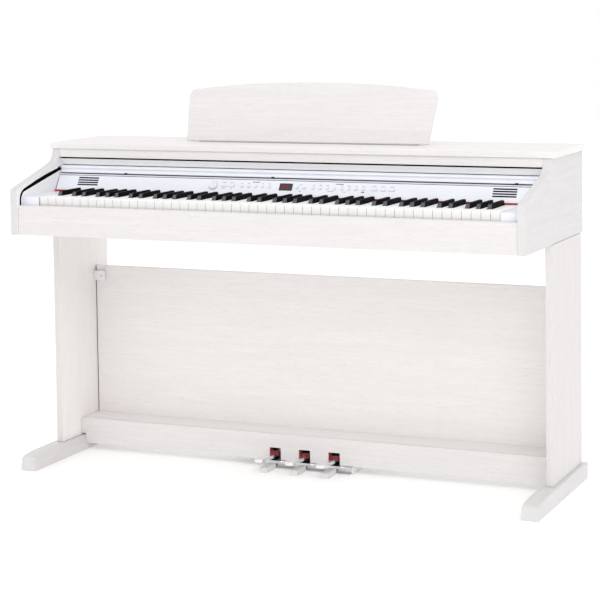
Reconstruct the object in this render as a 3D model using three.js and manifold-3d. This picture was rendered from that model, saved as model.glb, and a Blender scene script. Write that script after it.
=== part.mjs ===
// Digital piano on a panel stand: 88 keys, sliding key cover, folding music rest and three pedals.
// Millimetres, +Z up, the player sits at -Y. The origin is on the floor under the middle of the piano.
import * as THREE from "three";
import { mergeVertices } from "three/addons/utils/BufferGeometryUtils.js";
import Module from "manifold-3d";

const wasm = await Module();
wasm.setup();

// ---- Driving dimensions. Depths are measured from the front faces of the side panels. ----
const BODY_DEPTH = 485.8;
const BODY_WIDTH = 1360;
const PANEL_THICK = 20; // side panels
const FIT = 0.3; // gap between touching pieces
const INNER_X = BODY_WIDTH / 2 - PANEL_THICK; // inner faces of the side panels
const BETWEEN = 2 * (INNER_X - FIT); // width of a piece that fits between the side panels

const BODY_BOTTOM = 619.3;
const ARM_FRONT_TOP = 735.5; // front edge of a side panel
const ARM_SLOPE_END = [182, 787]; // depth and height where the slope turns up to the lid
const ARM_REAR_STEP = 211; // depth where the side panel meets the lid
const LID_BOTTOM = 824;
const LID_TOP = 840.2;
const LID_FRONT = 207;
const LID_WIDTH = 1373.5;

const KEYBED_THICK = 16;
const KEYBED_TOP = BODY_BOTTOM + KEYBED_THICK;
const SLIP_FRONT = 4;
const SLIP_BACK = 22;
const SLIP_TOP = 694;
const SLIP_GAP = 0.5; // at each end of the key slip

const REAR_PANEL = [478, 482]; // front and back faces
const JACK_PANEL = [300, 660, 420, 700]; // left, bottom, right and top edges
const JACK_DEPTHS = [466, 481];
const SOCKETS = [25, 60, 90]; // from the jack panel's left edge
const SOCKET_RADIUS = 3.2;
const SPEAKER_X = 480;
const SPEAKER_DEPTH = 350;
const SPEAKER_HOLE = 50;
const SPEAKER_FLANGE = 60;
const CIRCUIT_BOARD = [300, 110, 1.6]; // width, depth and thickness
const CIRCUIT_BOARD_FRONT = 290;

// Fascia: an upright face over a dark slot, and a slanted strip below it
const FASCIA_FRONT = 212;
const FASCIA_BACK = 236;
const FASCIA_SLOT = [798.4, 802.4]; // lower and upper edges
const FASCIA_SLOT_BACK = 228;
const FASCIA_BOTTOM = [229.5, 781.5]; // depth and height of its lower edge

// Keyboard
const WHITE_PITCH = 23.5;
const WHITE_COUNT = 52;
const WHITE_GAP = 1;
const BLACK_SLOT = 14; // room between two white tails for a black key
const BLACK_WIDTH = 11.6;
const BLACK_TOP_WIDTH = 9.4;
const KEY_FRONT = 31;
const KEY_TOP = 714.1;
const KEY_UNDER = 702; // underside of the white keys
const LIP_BOTTOM = 692;
const LIP_THICK = 3;
const BLACK_FRONT = 82;
const BLACK_END = 183; // rear end of the raised part of a black key
const BLACK_TOP = 725.5;
const BLACK_TAIL_UNDER = 707;
const FELT_STRIP = [185, 200]; // front and back of the felt behind the black keys
const CHEEK_FRONT = 27;
const CHEEK_BACK = 184;
const KEY_FRAME_RAIL = [50, 66, 22]; // front, back and height of the rail under the keys' fronts
const KEY_FRAME_BEAM = [215, 262]; // front and back of the beam they pivot on
const KEY_FRAME_RIB = [12, 12]; // width and height
const WHITE_TAIL_END = 240;
const BLACK_TAIL_END = 250;
const KEYS_HALF = (WHITE_COUNT * WHITE_PITCH) / 2;
const FIRST_MOVING_WHITE = 23; // middle C, counted from the lowest white key
const MOVING_WHITES = 7;

// Control panel: a plate that leans back from its lower front edge
const PANEL_FOOT = [189, 718.5]; // depth and height of the lower front edge
const PANEL_LEAN = THREE.MathUtils.degToRad(30);
const PANEL_RISE = 41.6; // up the slope
const PANEL_PLATE = 3;
const LEDGE_RISE = 4; // the ledge behind the slope's top edge stands this much higher
const LEDGE_STEP = 2; // and this much further back
const LEDGE_RUN = 18;
const SILL_RUN = 26; // the foot of the panel runs this far back over the keys' felt
const SILL_THICK = 2.5;
const BUTTON_ROW = 24.5; // up the slope, to the middle of every button
const BUTTON_PITCH = 19;
const BUTTON_PROUD = 1.5;
const BUTTON_DEEP = 6;
const ROUND_BUTTON = 8;
const WIDE_BUTTON = [16, 7];
const HOLE_GAP = 0.4;
const KNOB_X = -203;
const KNOB_DIAMETER = 23;
const KNOB_PROUD = 5;
const WIDE_BUTTONS = {
  intro_button: -173,
  rhythm_button: -151,
  song_button: 235,
  record_button: 258,
  split_button: 281,
};
const ROUND_BUTTONS = { value_down_button: 29, value_up_button: 48 };
const KEYPADS = { left_keypad: [-123, 5], right_keypad: [73, 8] };
const DISPLAY = { x: -1.5, row: 25, width: 36, height: 20 };
const SLOT_X = 568; // middle of each group of sound slots
const SLOT_LENGTH = 60;
const SLOT_ROWS = [16, 22.5, 29, 35.5];
const SLOT_HEIGHT = 3.2;
const ROUND_STEPS = 2; // steps that three.js doubles on each quarter circle of the panel's holes and buttons

// Sliding key cover and its guides
const COVER_FRONT = 214;
const COVER_HINGE = 403; // depth of the hinge line at its rear edge
const COVER_LEVEL = 773; // height of the hinge line and of the guide pins
const COVER_TRAVEL = 195;
const COVER_TILT = THREE.MathUtils.degToRad(13.7); // at the end of the travel
const COVER_HALF = INNER_X - 2.6;
const COVER_UNDER = COVER_LEVEL - 1.2; // underside of its board
const NOSE_UNDER = 761.8;
const NOSE_TOP = 780;
const NOSE_BROW = 774; // lower end of the nose's rounded top
const GUIDE_PIN = 5.4;
const GUIDE_HEIGHT = 7;
const GUIDE_DEPTH = 6;
const GROOVE_FRONT = 14; // where the groove turns down at the front
const GROOVE_BEND = 708; // height where it turns upright
const GROOVE_END = 691;
const GROOVE_ARCH = 3.5; // extra room over the pins half way along the slope
const CARRIAGE_BAR = 10; // thickness of the bar behind the cover
const CARRIAGE_EAR = 3; // half the height of its ears
const FRONT_PIN = COVER_FRONT + 10;

// Stand
const LEG_OUTER = 682.5;
const LEG_THICK = 18;
const LEG_INNER = LEG_OUTER - LEG_THICK;
const LEG_FRONT = 207.4;
const LEG_BACK = 462.2;
const FOOT_OUTER = 693.5;
const FOOT_INNER = 652;
const FOOT_FRONT = 43.5;
const FOOT_BACK = 478;
const FOOT_TOP = 40.5;
const RAIL_FRONT = 304;
const RAIL_BOARD = 15;
const RAIL_TOP = 87.3;
const RAIL_BOTTOM = 19;
const RAIL_NOTCH_TOP = 45; // the rail's lower corners are cut away round the feet
const BACKBOARD_FRONT = 397;
const BACKBOARD_THICK = 12;
const BACKBOARD_TOP = 490.5;
const BACKBOARD_GAP = 2.4; // at each end

// Pedals
const PEDALS = { soft_pedal: -91.5, sostenuto_pedal: -7, damper_pedal: 77.5 };
const PEDAL_SLOTS = [-88.5, -6, 76.5];
const PEDAL_TIP = 202;
const PEDAL_PIVOT = [375, 34];
const TOE_LEVELS = [34.8, 42.8]; // underside and top of a pedal at its toe
const ARM_LEVELS = [29, 37.5]; // and along its arm
const PEDAL_SLOT = [31, 51]; // width, and height of its top edge
const TOE_HALF = 13; // half the width of a pedal at its toe
const ARM_HALF = 7.5; // and along its arm
const FELT_THICK = 2.5;
const PIN_RADIUS = 2.2;
const EAR_OUTER = 13;
const PEDAL_BOX = [-113, 128]; // left and right ends
const PEDAL_BOX_DEPTHS = [300, 392];
const PEDAL_BOX_BOTTOM = 2.2;
const STOP_WIDTH = 20;
const STOP_TOP = 14;
const STOP_DEPTHS = [237, 293];

// Music rest, leaning back from its hinge line on the lid
const REST_WIDTH = 690;
const REST_HINGE = [322, LID_TOP + 2.3]; // depth and height of the hinge line, at the back of its foot
const REST_LEAN = THREE.MathUtils.degToRad(20);
const REST_CORNER_HEIGHT = 141;
const REST_MIDDLE_HEIGHT = 160;
const REST_THICK = 6;
const REST_CORNER_RADIUS = 14;

// ---- Materials ----
const foil = (color) => new THREE.MeshStandardMaterial({ color, roughness: 0.55, metalness: 0 });
const whiteFoil = foil(0xeceae8);
const palePlastic = new THREE.MeshStandardMaterial({ color: 0xe6e6ee, roughness: 0.4 });
const whiteKeyPlastic = new THREE.MeshStandardMaterial({ color: 0xf6f4ef, roughness: 0.25 });
const blackKeyPlastic = new THREE.MeshStandardMaterial({ color: 0x1a1a1c, roughness: 0.45 });
const redFelt = new THREE.MeshStandardMaterial({ color: 0x8c1020, roughness: 0.95 });
const darkWindow = new THREE.MeshStandardMaterial({ color: 0x2a0406, roughness: 0.1 });
const chrome = new THREE.MeshStandardMaterial({ color: 0xd8d8da, roughness: 0.12, metalness: 1 });
const sheetSteel = new THREE.MeshStandardMaterial({ color: 0xb8b8bc, roughness: 0.35, metalness: 1 });
const blackPlastic = new THREE.MeshStandardMaterial({ color: 0x202022, roughness: 0.5 });
const greenBoard = new THREE.MeshStandardMaterial({ color: 0x1f5b36, roughness: 0.5 });
const whiteRubber = new THREE.MeshStandardMaterial({ color: 0xe4e4e4, roughness: 0.8 });
const hardboard = new THREE.MeshStandardMaterial({ color: 0xdedbd6, roughness: 0.8 });

// ---- Solids ----
function solid(geometry) {
  const bare = geometry.index ? geometry.toNonIndexed() : geometry.clone();
  bare.deleteAttribute("normal");
  bare.deleteAttribute("uv");
  const merged = mergeVertices(bare, 1e-4);
  return new wasm.Manifold(
    new wasm.Mesh({
      numProp: 3,
      vertProperties: new Float32Array(merged.attributes.position.array),
      triVerts: new Uint32Array(merged.index.array),
    }),
  );
}

function geometryOf(made) {
  const mesh = made.getMesh();
  const geometry = new THREE.BufferGeometry();
  geometry.setAttribute("position", new THREE.BufferAttribute(mesh.vertProperties, 3));
  geometry.setIndex(new THREE.BufferAttribute(mesh.triVerts, 1));
  const flat = geometry.toNonIndexed();
  flat.computeVertexNormals();
  return flat;
}

const join = (geometries) => geometryOf(geometries.map(solid).reduce((all, one) => all.add(one)));
const cut = (geometry, tools) =>
  geometryOf(tools.map(solid).reduce((left, tool) => left.subtract(tool), solid(geometry)));

// A box given by its lowest and highest corners.
function block([x0, y0, z0], [x1, y1, z1]) {
  const geometry = new THREE.BoxGeometry(x1 - x0, y1 - y0, z1 - z0);
  return geometry.translate((x0 + x1) / 2, (y0 + y1) / 2, (z0 + z1) / 2);
}

const ordered = (a, b) => [Math.min(a, b), Math.max(a, b)];
const outline = (points) => new THREE.Shape(points.map(([a, b]) => new THREE.Vector2(a, b)));
const thicken = (shape, depth, curveSegments = 8) =>
  new THREE.ExtrudeGeometry(shape, { depth, bevelEnabled: false, curveSegments });

// A side-view outline of depth and height, extruded across the width from x0 to x1.
function across(shape, x0, x1, curveSegments) {
  const basis = new THREE.Matrix4().makeBasis(
    new THREE.Vector3(0, 1, 0),
    new THREE.Vector3(0, 0, 1),
    new THREE.Vector3(1, 0, 0),
  );
  return thicken(shape, x1 - x0, curveSegments).applyMatrix4(basis).translate(x0, 0, 0);
}

// A front-view outline of width and height, extruded back from y0 to y1.
const backwards = (shape, y0, y1, curveSegments) =>
  thicken(shape, y1 - y0, curveSegments).rotateX(Math.PI / 2).translate(0, y1, 0);

// A plan outline of width and depth, extruded up from z0 to z1.
const upwards = (shape, z0, z1, curveSegments) => thicken(shape, z1 - z0, curveSegments).translate(0, 0, z0);

// A rectangle with round corners about a middle point.
function roundedRectangle(width, height, radius, cx = 0, cy = 0) {
  const shape = new THREE.Shape();
  const x = width / 2 - radius;
  const y = height / 2 - radius;
  shape.absarc(cx + x, cy + y, radius, 0, Math.PI / 2);
  shape.absarc(cx - x, cy + y, radius, Math.PI / 2, Math.PI);
  shape.absarc(cx - x, cy - y, radius, Math.PI, (3 * Math.PI) / 2);
  shape.absarc(cx + x, cy - y, radius, (3 * Math.PI) / 2, 2 * Math.PI);
  return shape;
}

function add(group, name, geometry, material) {
  const mesh = new THREE.Mesh(geometry, material);
  mesh.name = name;
  group.add(mesh);
  return mesh;
}

// ---- Cabinet ----
function coverPinPath(pinDepth, steps) {
  const reach = COVER_HINGE - pinDepth;
  return Array.from({ length: steps + 1 }, (_, i) => {
    const part = i / steps;
    const tilt = COVER_TILT * part;
    const depth = COVER_HINGE - COVER_TRAVEL * part - reach * Math.cos(tilt);
    return [depth, COVER_LEVEL - reach * Math.sin(tilt)];
  });
}

// The groove in a side panel: a sloping run for the front pins that turns down at the front,
// and a level run for the carriage pins.
function guideGroove(x0, x1) {
  const half = GUIDE_HEIGHT / 2;
  const slope = coverPinPath(FRONT_PIN, 6);
  const sloping = new THREE.Shape();
  sloping.moveTo(slope[0][0] + half, slope[0][1] + half);
  slope.forEach(([depth, height], i) => {
    const arch = GROOVE_ARCH * Math.sin((Math.PI * i) / (slope.length - 1));
    sloping.lineTo(depth, height + half + arch);
  });
  sloping.quadraticCurveTo(GROOVE_FRONT + 1, GROOVE_BEND + 18, GROOVE_FRONT, GROOVE_BEND);
  sloping.lineTo(GROOVE_FRONT, GROOVE_END);
  sloping.lineTo(GROOVE_FRONT + GUIDE_HEIGHT, GROOVE_END);
  sloping.lineTo(GROOVE_FRONT + GUIDE_HEIGHT, GROOVE_BEND);
  const [endDepth, endHeight] = slope.at(-1);
  sloping.quadraticCurveTo(GROOVE_FRONT + GUIDE_HEIGHT + 2, GROOVE_BEND + 11, endDepth, endHeight - half);
  [...slope].reverse().forEach(([depth, height]) => sloping.lineTo(depth, height - half));
  sloping.lineTo(slope[0][0] + half, slope[0][1] - half);
  const level = block(
    [x0, COVER_HINGE - COVER_TRAVEL - half, COVER_LEVEL - half],
    [x1, COVER_HINGE + half, COVER_LEVEL + half],
  );
  return [across(sloping, x0, x1, 4), level];
}

function sidePanel(side) {
  const profile = new THREE.Shape();
  const nose = 4;
  profile.moveTo(0, BODY_BOTTOM);
  profile.lineTo(0, ARM_FRONT_TOP - nose);
  profile.quadraticCurveTo(0, ARM_FRONT_TOP, nose, ARM_FRONT_TOP + 1);
  profile.lineTo(...ARM_SLOPE_END);
  profile.quadraticCurveTo(204, 794, ARM_REAR_STEP, LID_BOTTOM - FIT);
  profile.lineTo(BODY_DEPTH, LID_BOTTOM - FIT);
  profile.lineTo(BODY_DEPTH, BODY_BOTTOM);
  const edges = ordered(side * INNER_X, side * (INNER_X + PANEL_THICK));
  const groove = ordered(side * (INNER_X - 1), side * (INNER_X + GUIDE_DEPTH));
  return cut(across(profile, ...edges, 6), guideGroove(...groove));
}

function lid() {
  const half = LID_WIDTH / 2;
  const round = 2;
  const middle = [(BODY_DEPTH + LID_FRONT) / 2, (LID_TOP + LID_BOTTOM) / 2];
  const profile = roundedRectangle(BODY_DEPTH - LID_FRONT, LID_TOP - LID_BOTTOM, round, ...middle);
  return across(profile, -half, half, 3);
}

// The strip under the lid: its upright face, the slot, and the slanted strip below.
function fascia() {
  const [slotBottom, slotTop] = FASCIA_SLOT;
  const profile = outline([
    [FASCIA_FRONT, LID_BOTTOM - FIT],
    [FASCIA_FRONT, slotTop],
    [FASCIA_SLOT_BACK, slotTop],
    [FASCIA_SLOT_BACK, slotBottom + 1],
    [FASCIA_FRONT + 3, slotBottom],
    FASCIA_BOTTOM,
    [FASCIA_BACK, FASCIA_BOTTOM[1]],
    [FASCIA_BACK, LID_BOTTOM - FIT],
  ]);
  return across(profile, -BETWEEN / 2, BETWEEN / 2);
}

function rearPanel() {
  const half = BETWEEN / 2;
  const [left, bottom, right, top] = JACK_PANEL;
  const [front, back] = REAR_PANEL;
  const board = block([-half, front, KEYBED_TOP + FIT], [half, back, LID_BOTTOM - FIT]);
  return cut(board, [block([left - 1, front - 5, bottom - 1], [right + 1, back + 5, top + 1])]);
}

// A tray at the back with a power inlet and two line sockets.
function jackPanel() {
  const [left, bottom, right, top] = JACK_PANEL;
  const [front, back] = JACK_DEPTHS;
  const tray = block([left, front, bottom], [right, back, top]);
  const sockets = SOCKETS.map((x) =>
    new THREE.CylinderGeometry(SOCKET_RADIUS, SOCKET_RADIUS, 20, 16)
      .translate(left + x, back - 1, (bottom + top) / 2),
  );
  return cut(tray, sockets);
}

function keybed() {
  const half = BETWEEN / 2;
  const board = block([-half, SLIP_BACK + FIT, BODY_BOTTOM], [half, REAR_PANEL[1], KEYBED_TOP]);
  const holes = [-1, 1].map((side) =>
    new THREE.CylinderGeometry(SPEAKER_HOLE, SPEAKER_HOLE, 40, 32)
      .rotateX(Math.PI / 2)
      .translate(side * SPEAKER_X, SPEAKER_DEPTH, KEYBED_TOP),
  );
  return cut(board, holes);
}

// A round loudspeaker that fires down through the keybed: flange, cone and magnet.
function speaker(side) {
  const magnet = [22, 30, 46]; // radius, lower and upper level
  const flange = [SPEAKER_FLANGE, 5]; // radius and thickness
  const profile = [
    [0, magnet[2]], [magnet[0], magnet[2]], [magnet[0], magnet[1]], [SPEAKER_HOLE, flange[1]], [...flange],
    [flange[0], 0], [SPEAKER_HOLE - 1, 0], [20, 20], [0, 22],
  ];
  const ring = new THREE.LatheGeometry(profile.map(([r, z]) => new THREE.Vector2(r, z)).reverse(), 24);
  return ring.rotateX(Math.PI / 2).translate(side * SPEAKER_X, SPEAKER_DEPTH, KEYBED_TOP + FIT);
}

function keySlip() {
  const top = 3;
  const profile = outline([
    [SLIP_FRONT, BODY_BOTTOM], [SLIP_FRONT, SLIP_TOP - top], [SLIP_FRONT + top, SLIP_TOP],
    [SLIP_BACK + top, SLIP_TOP], [SLIP_BACK + top, KEYBED_TOP + FIT], [SLIP_BACK, KEYBED_TOP + FIT],
    [SLIP_BACK, BODY_BOTTOM],
  ].reverse());
  const half = INNER_X - SLIP_GAP;
  return across(profile, -half, half);
}

function cheekBlock(side) {
  const inner = KEYS_HALF + WHITE_GAP;
  const [x0, x1] = ordered(side * inner, (side * BETWEEN) / 2);
  return block([x0, CHEEK_FRONT, KEYBED_TOP + FIT], [x1, CHEEK_BACK, KEY_TOP]);
}

function feltStrip() {
  const [front, back] = FELT_STRIP;
  return block([-BETWEEN / 2, front, KEY_TOP + FIT], [BETWEEN / 2, back, PANEL_FOOT[1] - FIT]);
}

// The frame under the keys: a rear beam they pivot on, a front rail and cross ribs.
function keyFrame() {
  const half = KEYS_HALF;
  const base = KEYBED_TOP + FIT;
  const [railFrontEdge, railBackEdge, railHeight] = KEY_FRAME_RAIL;
  const [beamFront, beamBack] = KEY_FRAME_BEAM;
  const [ribWidth, ribHeight] = KEY_FRAME_RIB;
  const rear = block([-half, beamFront, base], [half, beamBack, KEY_UNDER - 1]);
  const front = block([-half, railFrontEdge, base], [half, railBackEdge, base + railHeight]);
  const ribs = [-2, -1, 0, 1, 2].map((i) => {
    const x = (i * (half - ribWidth)) / 2;
    const [x0, x1] = [x - ribWidth / 2, x + ribWidth / 2];
    return block([x0, railBackEdge - 5, base], [x1, beamFront + 5, base + ribHeight]);
  });
  return join([rear, front, ...ribs]);
}

// ---- Keyboard ----
// Each octave is a group of three white keys with two black ones, then four with three.
const GROUPS = [
  { notes: ["c", "d", "e"], blacks: ["c_sharp", "d_sharp"] },
  { notes: ["f", "g", "a", "b"], blacks: ["f_sharp", "g_sharp", "a_sharp"] },
];

// Tail edges of the white keys and middles of the black keys, from a group's left edge.
function groupLayout({ notes, blacks }) {
  const tail = (notes.length * WHITE_PITCH - blacks.length * BLACK_SLOT) / notes.length;
  const step = tail + BLACK_SLOT;
  return {
    tails: notes.map((_, i) => [i * step, i * step + tail]),
    blackMiddles: blacks.map((_, i) => (i + 1) * step - BLACK_SLOT / 2),
  };
}

// A white key: a full-width head with a front lip, and a tail between its black neighbours.
function whiteKey(left, tailLeft, tailRight) {
  const x0 = left + WHITE_GAP / 2;
  const x1 = left + WHITE_PITCH - WHITE_GAP / 2;
  const t0 = Math.max(tailLeft, x0);
  const t1 = Math.min(tailRight, x1);
  const headEnd = BLACK_FRONT - 1.5;
  const edge = 1;
  const head = outline([
    [KEY_FRONT, LIP_BOTTOM], [KEY_FRONT + LIP_THICK, LIP_BOTTOM], [KEY_FRONT + LIP_THICK, KEY_UNDER],
    [headEnd, KEY_UNDER], [headEnd, KEY_TOP], [KEY_FRONT + edge, KEY_TOP], [KEY_FRONT, KEY_TOP - edge],
  ]);
  return [across(head, x0, x1), block([t0, headEnd - 2, KEY_UNDER], [t1, WHITE_TAIL_END, KEY_TOP])];
}

// A black key: a tapered block with a sloping front, and a thin tail to the pivot.
function blackKey(middle) {
  const lower = BLACK_WIDTH / 2;
  const upper = BLACK_TOP_WIDTH / 2;
  const under = KEY_UNDER + 1;
  const plan = (half, front, end) => [[-half, front], [half, front], [half, end], [-half, end]];
  const levels = [
    [under, plan(lower, BLACK_FRONT, BLACK_END)],
    [KEY_TOP, plan(lower, BLACK_FRONT, BLACK_END)],
    [BLACK_TOP - 1, plan(upper, BLACK_FRONT + 7, BLACK_END)],
    [BLACK_TOP, plan(upper - 1, BLACK_FRONT + 9, BLACK_END)],
  ];
  const tailHalf = 4;
  const tail = block(
    [middle - tailHalf, BLACK_END - 2, BLACK_TAIL_UNDER],
    [middle + tailHalf, BLACK_TAIL_END, KEY_TOP - 2],
  );
  return [loft(levels).translate(middle, 0, 0), tail];
}

// A closed skin over four-cornered plan outlines at rising heights.
function loft(levels) {
  const corners = levels.flatMap(([z, plan]) => plan.flatMap(([x, y]) => [x, y, z]));
  const faces = [0, 2, 1, 0, 3, 2];
  for (let level = 0; level < levels.length - 1; level++) {
    for (let side = 0; side < 4; side++) {
      const a = 4 * level + side;
      const b = 4 * level + ((side + 1) % 4);
      faces.push(a, b, b + 4, a, b + 4, a + 4);
    }
  }
  const top = 4 * (levels.length - 1);
  faces.push(top, top + 1, top + 2, top, top + 2, top + 3);
  const geometry = new THREE.BufferGeometry();
  geometry.setAttribute("position", new THREE.Float32BufferAttribute(corners, 3));
  geometry.setIndex(faces);
  return geometry;
}

// Every key as { name, colour, solids }, from the lowest A to the highest C.
function allKeys() {
  const keys = [];
  const LOWEST = -5; // the lowest A is five white keys above the C before it
  for (let octave = 0; octave < 9; octave++) {
    let white = LOWEST + 7 * octave;
    for (const group of GROUPS) {
      const { tails, blackMiddles } = groupLayout(group);
      const left = white * WHITE_PITCH - KEYS_HALF;
      group.notes.forEach((note, i) => {
        const index = white + i;
        if (index < 0 || index >= WHITE_COUNT) return;
        const [t0, t1] = tails[i];
        const tailLeft = index === 0 ? -KEYS_HALF : left + t0;
        const tailRight = index === WHITE_COUNT - 1 ? KEYS_HALF : left + t1;
        const solids = whiteKey(index * WHITE_PITCH - KEYS_HALF, tailLeft, tailRight);
        keys.push({ name: "key_" + note, colour: "white", index, solids });
      });
      group.blacks.forEach((note, i) => {
        const index = white + i;
        if (index < 0 || index >= WHITE_COUNT - 1) return;
        keys.push({ name: "key_" + note, colour: "black", index, solids: blackKey(left + blackMiddles[i]) });
      });
      white += group.notes.length;
    }
  }
  return keys;
}

// The keys below and above the middle octave are moulded as combs: a bar joins their rear ends.
function keyComb(keys, colour, first, last) {
  const x0 = first * WHITE_PITCH - KEYS_HALF + WHITE_GAP;
  const x1 = (last + 1) * WHITE_PITCH - KEYS_HALF - WHITE_GAP;
  const bars = {
    white: block([x0, WHITE_TAIL_END - 4, KEY_UNDER], [x1, WHITE_TAIL_END + 6, BLACK_TAIL_UNDER - 1]),
    black: block([x0, BLACK_TAIL_END - 2, KEY_UNDER], [x1, BLACK_TAIL_END + 6, KEY_TOP - 2]),
  };
  const chosen = keys.filter((key) => key.colour === colour && key.index >= first && key.index <= last);
  return join([bars[colour], ...chosen.flatMap((key) => key.solids)]);
}

function keyboard() {
  const group = new THREE.Group();
  const keys = allKeys();
  const colours = { white: whiteKeyPlastic, black: blackKeyPlastic };
  const lastMoving = FIRST_MOVING_WHITE + MOVING_WHITES - 1;
  keys
    .filter((key) => key.index >= FIRST_MOVING_WHITE && key.index <= lastMoving)
    .forEach((key) => add(group, key.name, join(key.solids), colours[key.colour]));
  for (const colour of ["white", "black"]) {
    const bass = keyComb(keys, colour, 0, FIRST_MOVING_WHITE - 1);
    const treble = keyComb(keys, colour, lastMoving + 1, WHITE_COUNT - 1);
    add(group, "bass_" + colour + "_keys", bass, colours[colour]);
    add(group, "treble_" + colour + "_keys", treble, colours[colour]);
  }
  return group;
}

// ---- Control panel: built lying flat, x along it, y up the slope and z out of it ----
const padMiddles = ([x, count]) => Array.from({ length: count }, (_, i) => x + i * BUTTON_PITCH);

function panelPlate() {
  const [footDepth, footHeight] = PANEL_FOOT;
  const sin = Math.sin(PANEL_LEAN);
  const cos = Math.cos(PANEL_LEAN);
  const flat = ([depth, height]) => {
    const back = depth - footDepth;
    const up = height - footHeight;
    return [back * sin + up * cos, up * sin - back * cos];
  };
  const top = [footDepth + PANEL_RISE * sin, footHeight + PANEL_RISE * cos];
  const ledge = top[1] + LEDGE_RISE;
  const plate = PANEL_PLATE / cos;
  const profile = [
    PANEL_FOOT,
    [footDepth + SILL_RUN, footHeight],
    [footDepth + SILL_RUN, footHeight + SILL_THICK],
    [footDepth + plate + 1.5, footHeight + SILL_THICK],
    [top[0] + plate, top[1] - 0.5],
    [top[0] + plate, ledge - PANEL_PLATE],
    [top[0] + LEDGE_RUN, ledge - PANEL_PLATE],
    [top[0] + LEDGE_RUN, ledge],
    [top[0] + LEDGE_STEP, ledge],
    [top[0] + LEDGE_STEP, top[1]],
    top,
  ];
  const bar = across(outline(profile.map(flat)), -BETWEEN / 2, BETWEEN / 2);
  const deep = 20;
  const hole = (shape) => upwards(shape, -PANEL_PLATE * 3, deep, ROUND_STEPS);
  const rounded = (width, height, x, y) =>
    hole(roundedRectangle(width + 2 * HOLE_GAP, height + 2 * HOLE_GAP, height / 2, x, y));
  const knobHole = [hole(roundedRectangle(7, 7, 3.4, KNOB_X, BUTTON_ROW))];
  const wide = Object.values(WIDE_BUTTONS).map((x) => rounded(...WIDE_BUTTON, x, BUTTON_ROW));
  const roundMiddles = [...Object.values(ROUND_BUTTONS), ...Object.values(KEYPADS).flatMap(padMiddles)];
  const round = roundMiddles.map((x) => rounded(ROUND_BUTTON, ROUND_BUTTON, x, BUTTON_ROW));
  const window = hole(roundedRectangle(DISPLAY.width, DISPLAY.height, 1, DISPLAY.x, DISPLAY.row));
  const slots = [-1, 1].flatMap((side) =>
    SLOT_ROWS.map((row) => hole(roundedRectangle(SLOT_LENGTH, SLOT_HEIGHT, 1, side * SLOT_X, row))),
  );
  return cut(bar, [...knobHole, ...wide, ...round, window, ...slots]);
}

// A push button: its cap stands proud of the plate and a flange behind keeps it in.
function pushButton(width, height, x) {
  const radius = height / 2 - 0.01;
  const cap = roundedRectangle(width, height, radius, x, BUTTON_ROW);
  const flange = roundedRectangle(width + 3, height + 3, radius + 1.5, x, BUTTON_ROW);
  return join([
    upwards(cap, -BUTTON_DEEP, BUTTON_PROUD, ROUND_STEPS),
    upwards(flange, -BUTTON_DEEP, -PANEL_PLATE - 1, ROUND_STEPS),
  ]);
}

// A rubber keypad: round button tops on one membrane behind the plate.
function keypad(x, count) {
  const length = (count - 1) * BUTTON_PITCH;
  const membrane = roundedRectangle(length + 14, 14, 3, x + length / 2, BUTTON_ROW);
  const tops = padMiddles([x, count]).map((middle) => {
    const top = roundedRectangle(ROUND_BUTTON, ROUND_BUTTON, ROUND_BUTTON / 2 - 0.01, middle, BUTTON_ROW);
    return upwards(top, -BUTTON_DEEP, BUTTON_PROUD, ROUND_STEPS);
  });
  return join([upwards(membrane, -BUTTON_DEEP, -PANEL_PLATE - 1, ROUND_STEPS), ...tops]);
}

function volumeKnob() {
  const radius = KNOB_DIAMETER / 2;
  const profile = [
    [0, -10], [3, -10], [3, 0.6], [radius, 0.6],
    [radius - 0.3, KNOB_PROUD - 1.4], [radius - 1.6, KNOB_PROUD], [radius - 3, KNOB_PROUD - 0.4],
    [0, KNOB_PROUD - 0.8],
  ];
  const points = profile.map(([r, z]) => new THREE.Vector2(r, z));
  return new THREE.LatheGeometry(points, 24).rotateX(Math.PI / 2).translate(KNOB_X, BUTTON_ROW, 0);
}

function displayWindow() {
  const { x, row, width, height } = DISPLAY;
  return upwards(roundedRectangle(width - 2 * FIT, height - 2 * FIT, 0.8, x, row), -PANEL_PLATE, 0.3, 1);
}

function controlPanel() {
  const group = new THREE.Group();
  group.position.set(0, ...PANEL_FOOT);
  group.rotation.x = Math.PI / 2 - PANEL_LEAN;
  add(group, "control_panel", panelPlate(), palePlastic);
  add(group, "volume_knob", volumeKnob(), palePlastic);
  add(group, "display_window", displayWindow(), darkWindow);
  for (const [name, x] of Object.entries(WIDE_BUTTONS)) {
    add(group, name, pushButton(...WIDE_BUTTON, x), palePlastic);
  }
  for (const [name, x] of Object.entries(ROUND_BUTTONS)) {
    add(group, name, pushButton(ROUND_BUTTON, ROUND_BUTTON, x), palePlastic);
  }
  for (const [name, [x, count]] of Object.entries(KEYPADS)) {
    add(group, name, keypad(x, count), palePlastic);
  }
  return group;
}

// ---- Key cover: a nose with a grip at the front, a flat board, and pins that run in the grooves ----
function pin(depth, side, from) {
  const length = INNER_X + GUIDE_DEPTH - 1 - from;
  return new THREE.CylinderGeometry(GUIDE_PIN / 2, GUIDE_PIN / 2, length, 12)
    .rotateZ(Math.PI / 2)
    .translate(side * (from + length / 2), depth, COVER_LEVEL);
}

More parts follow.
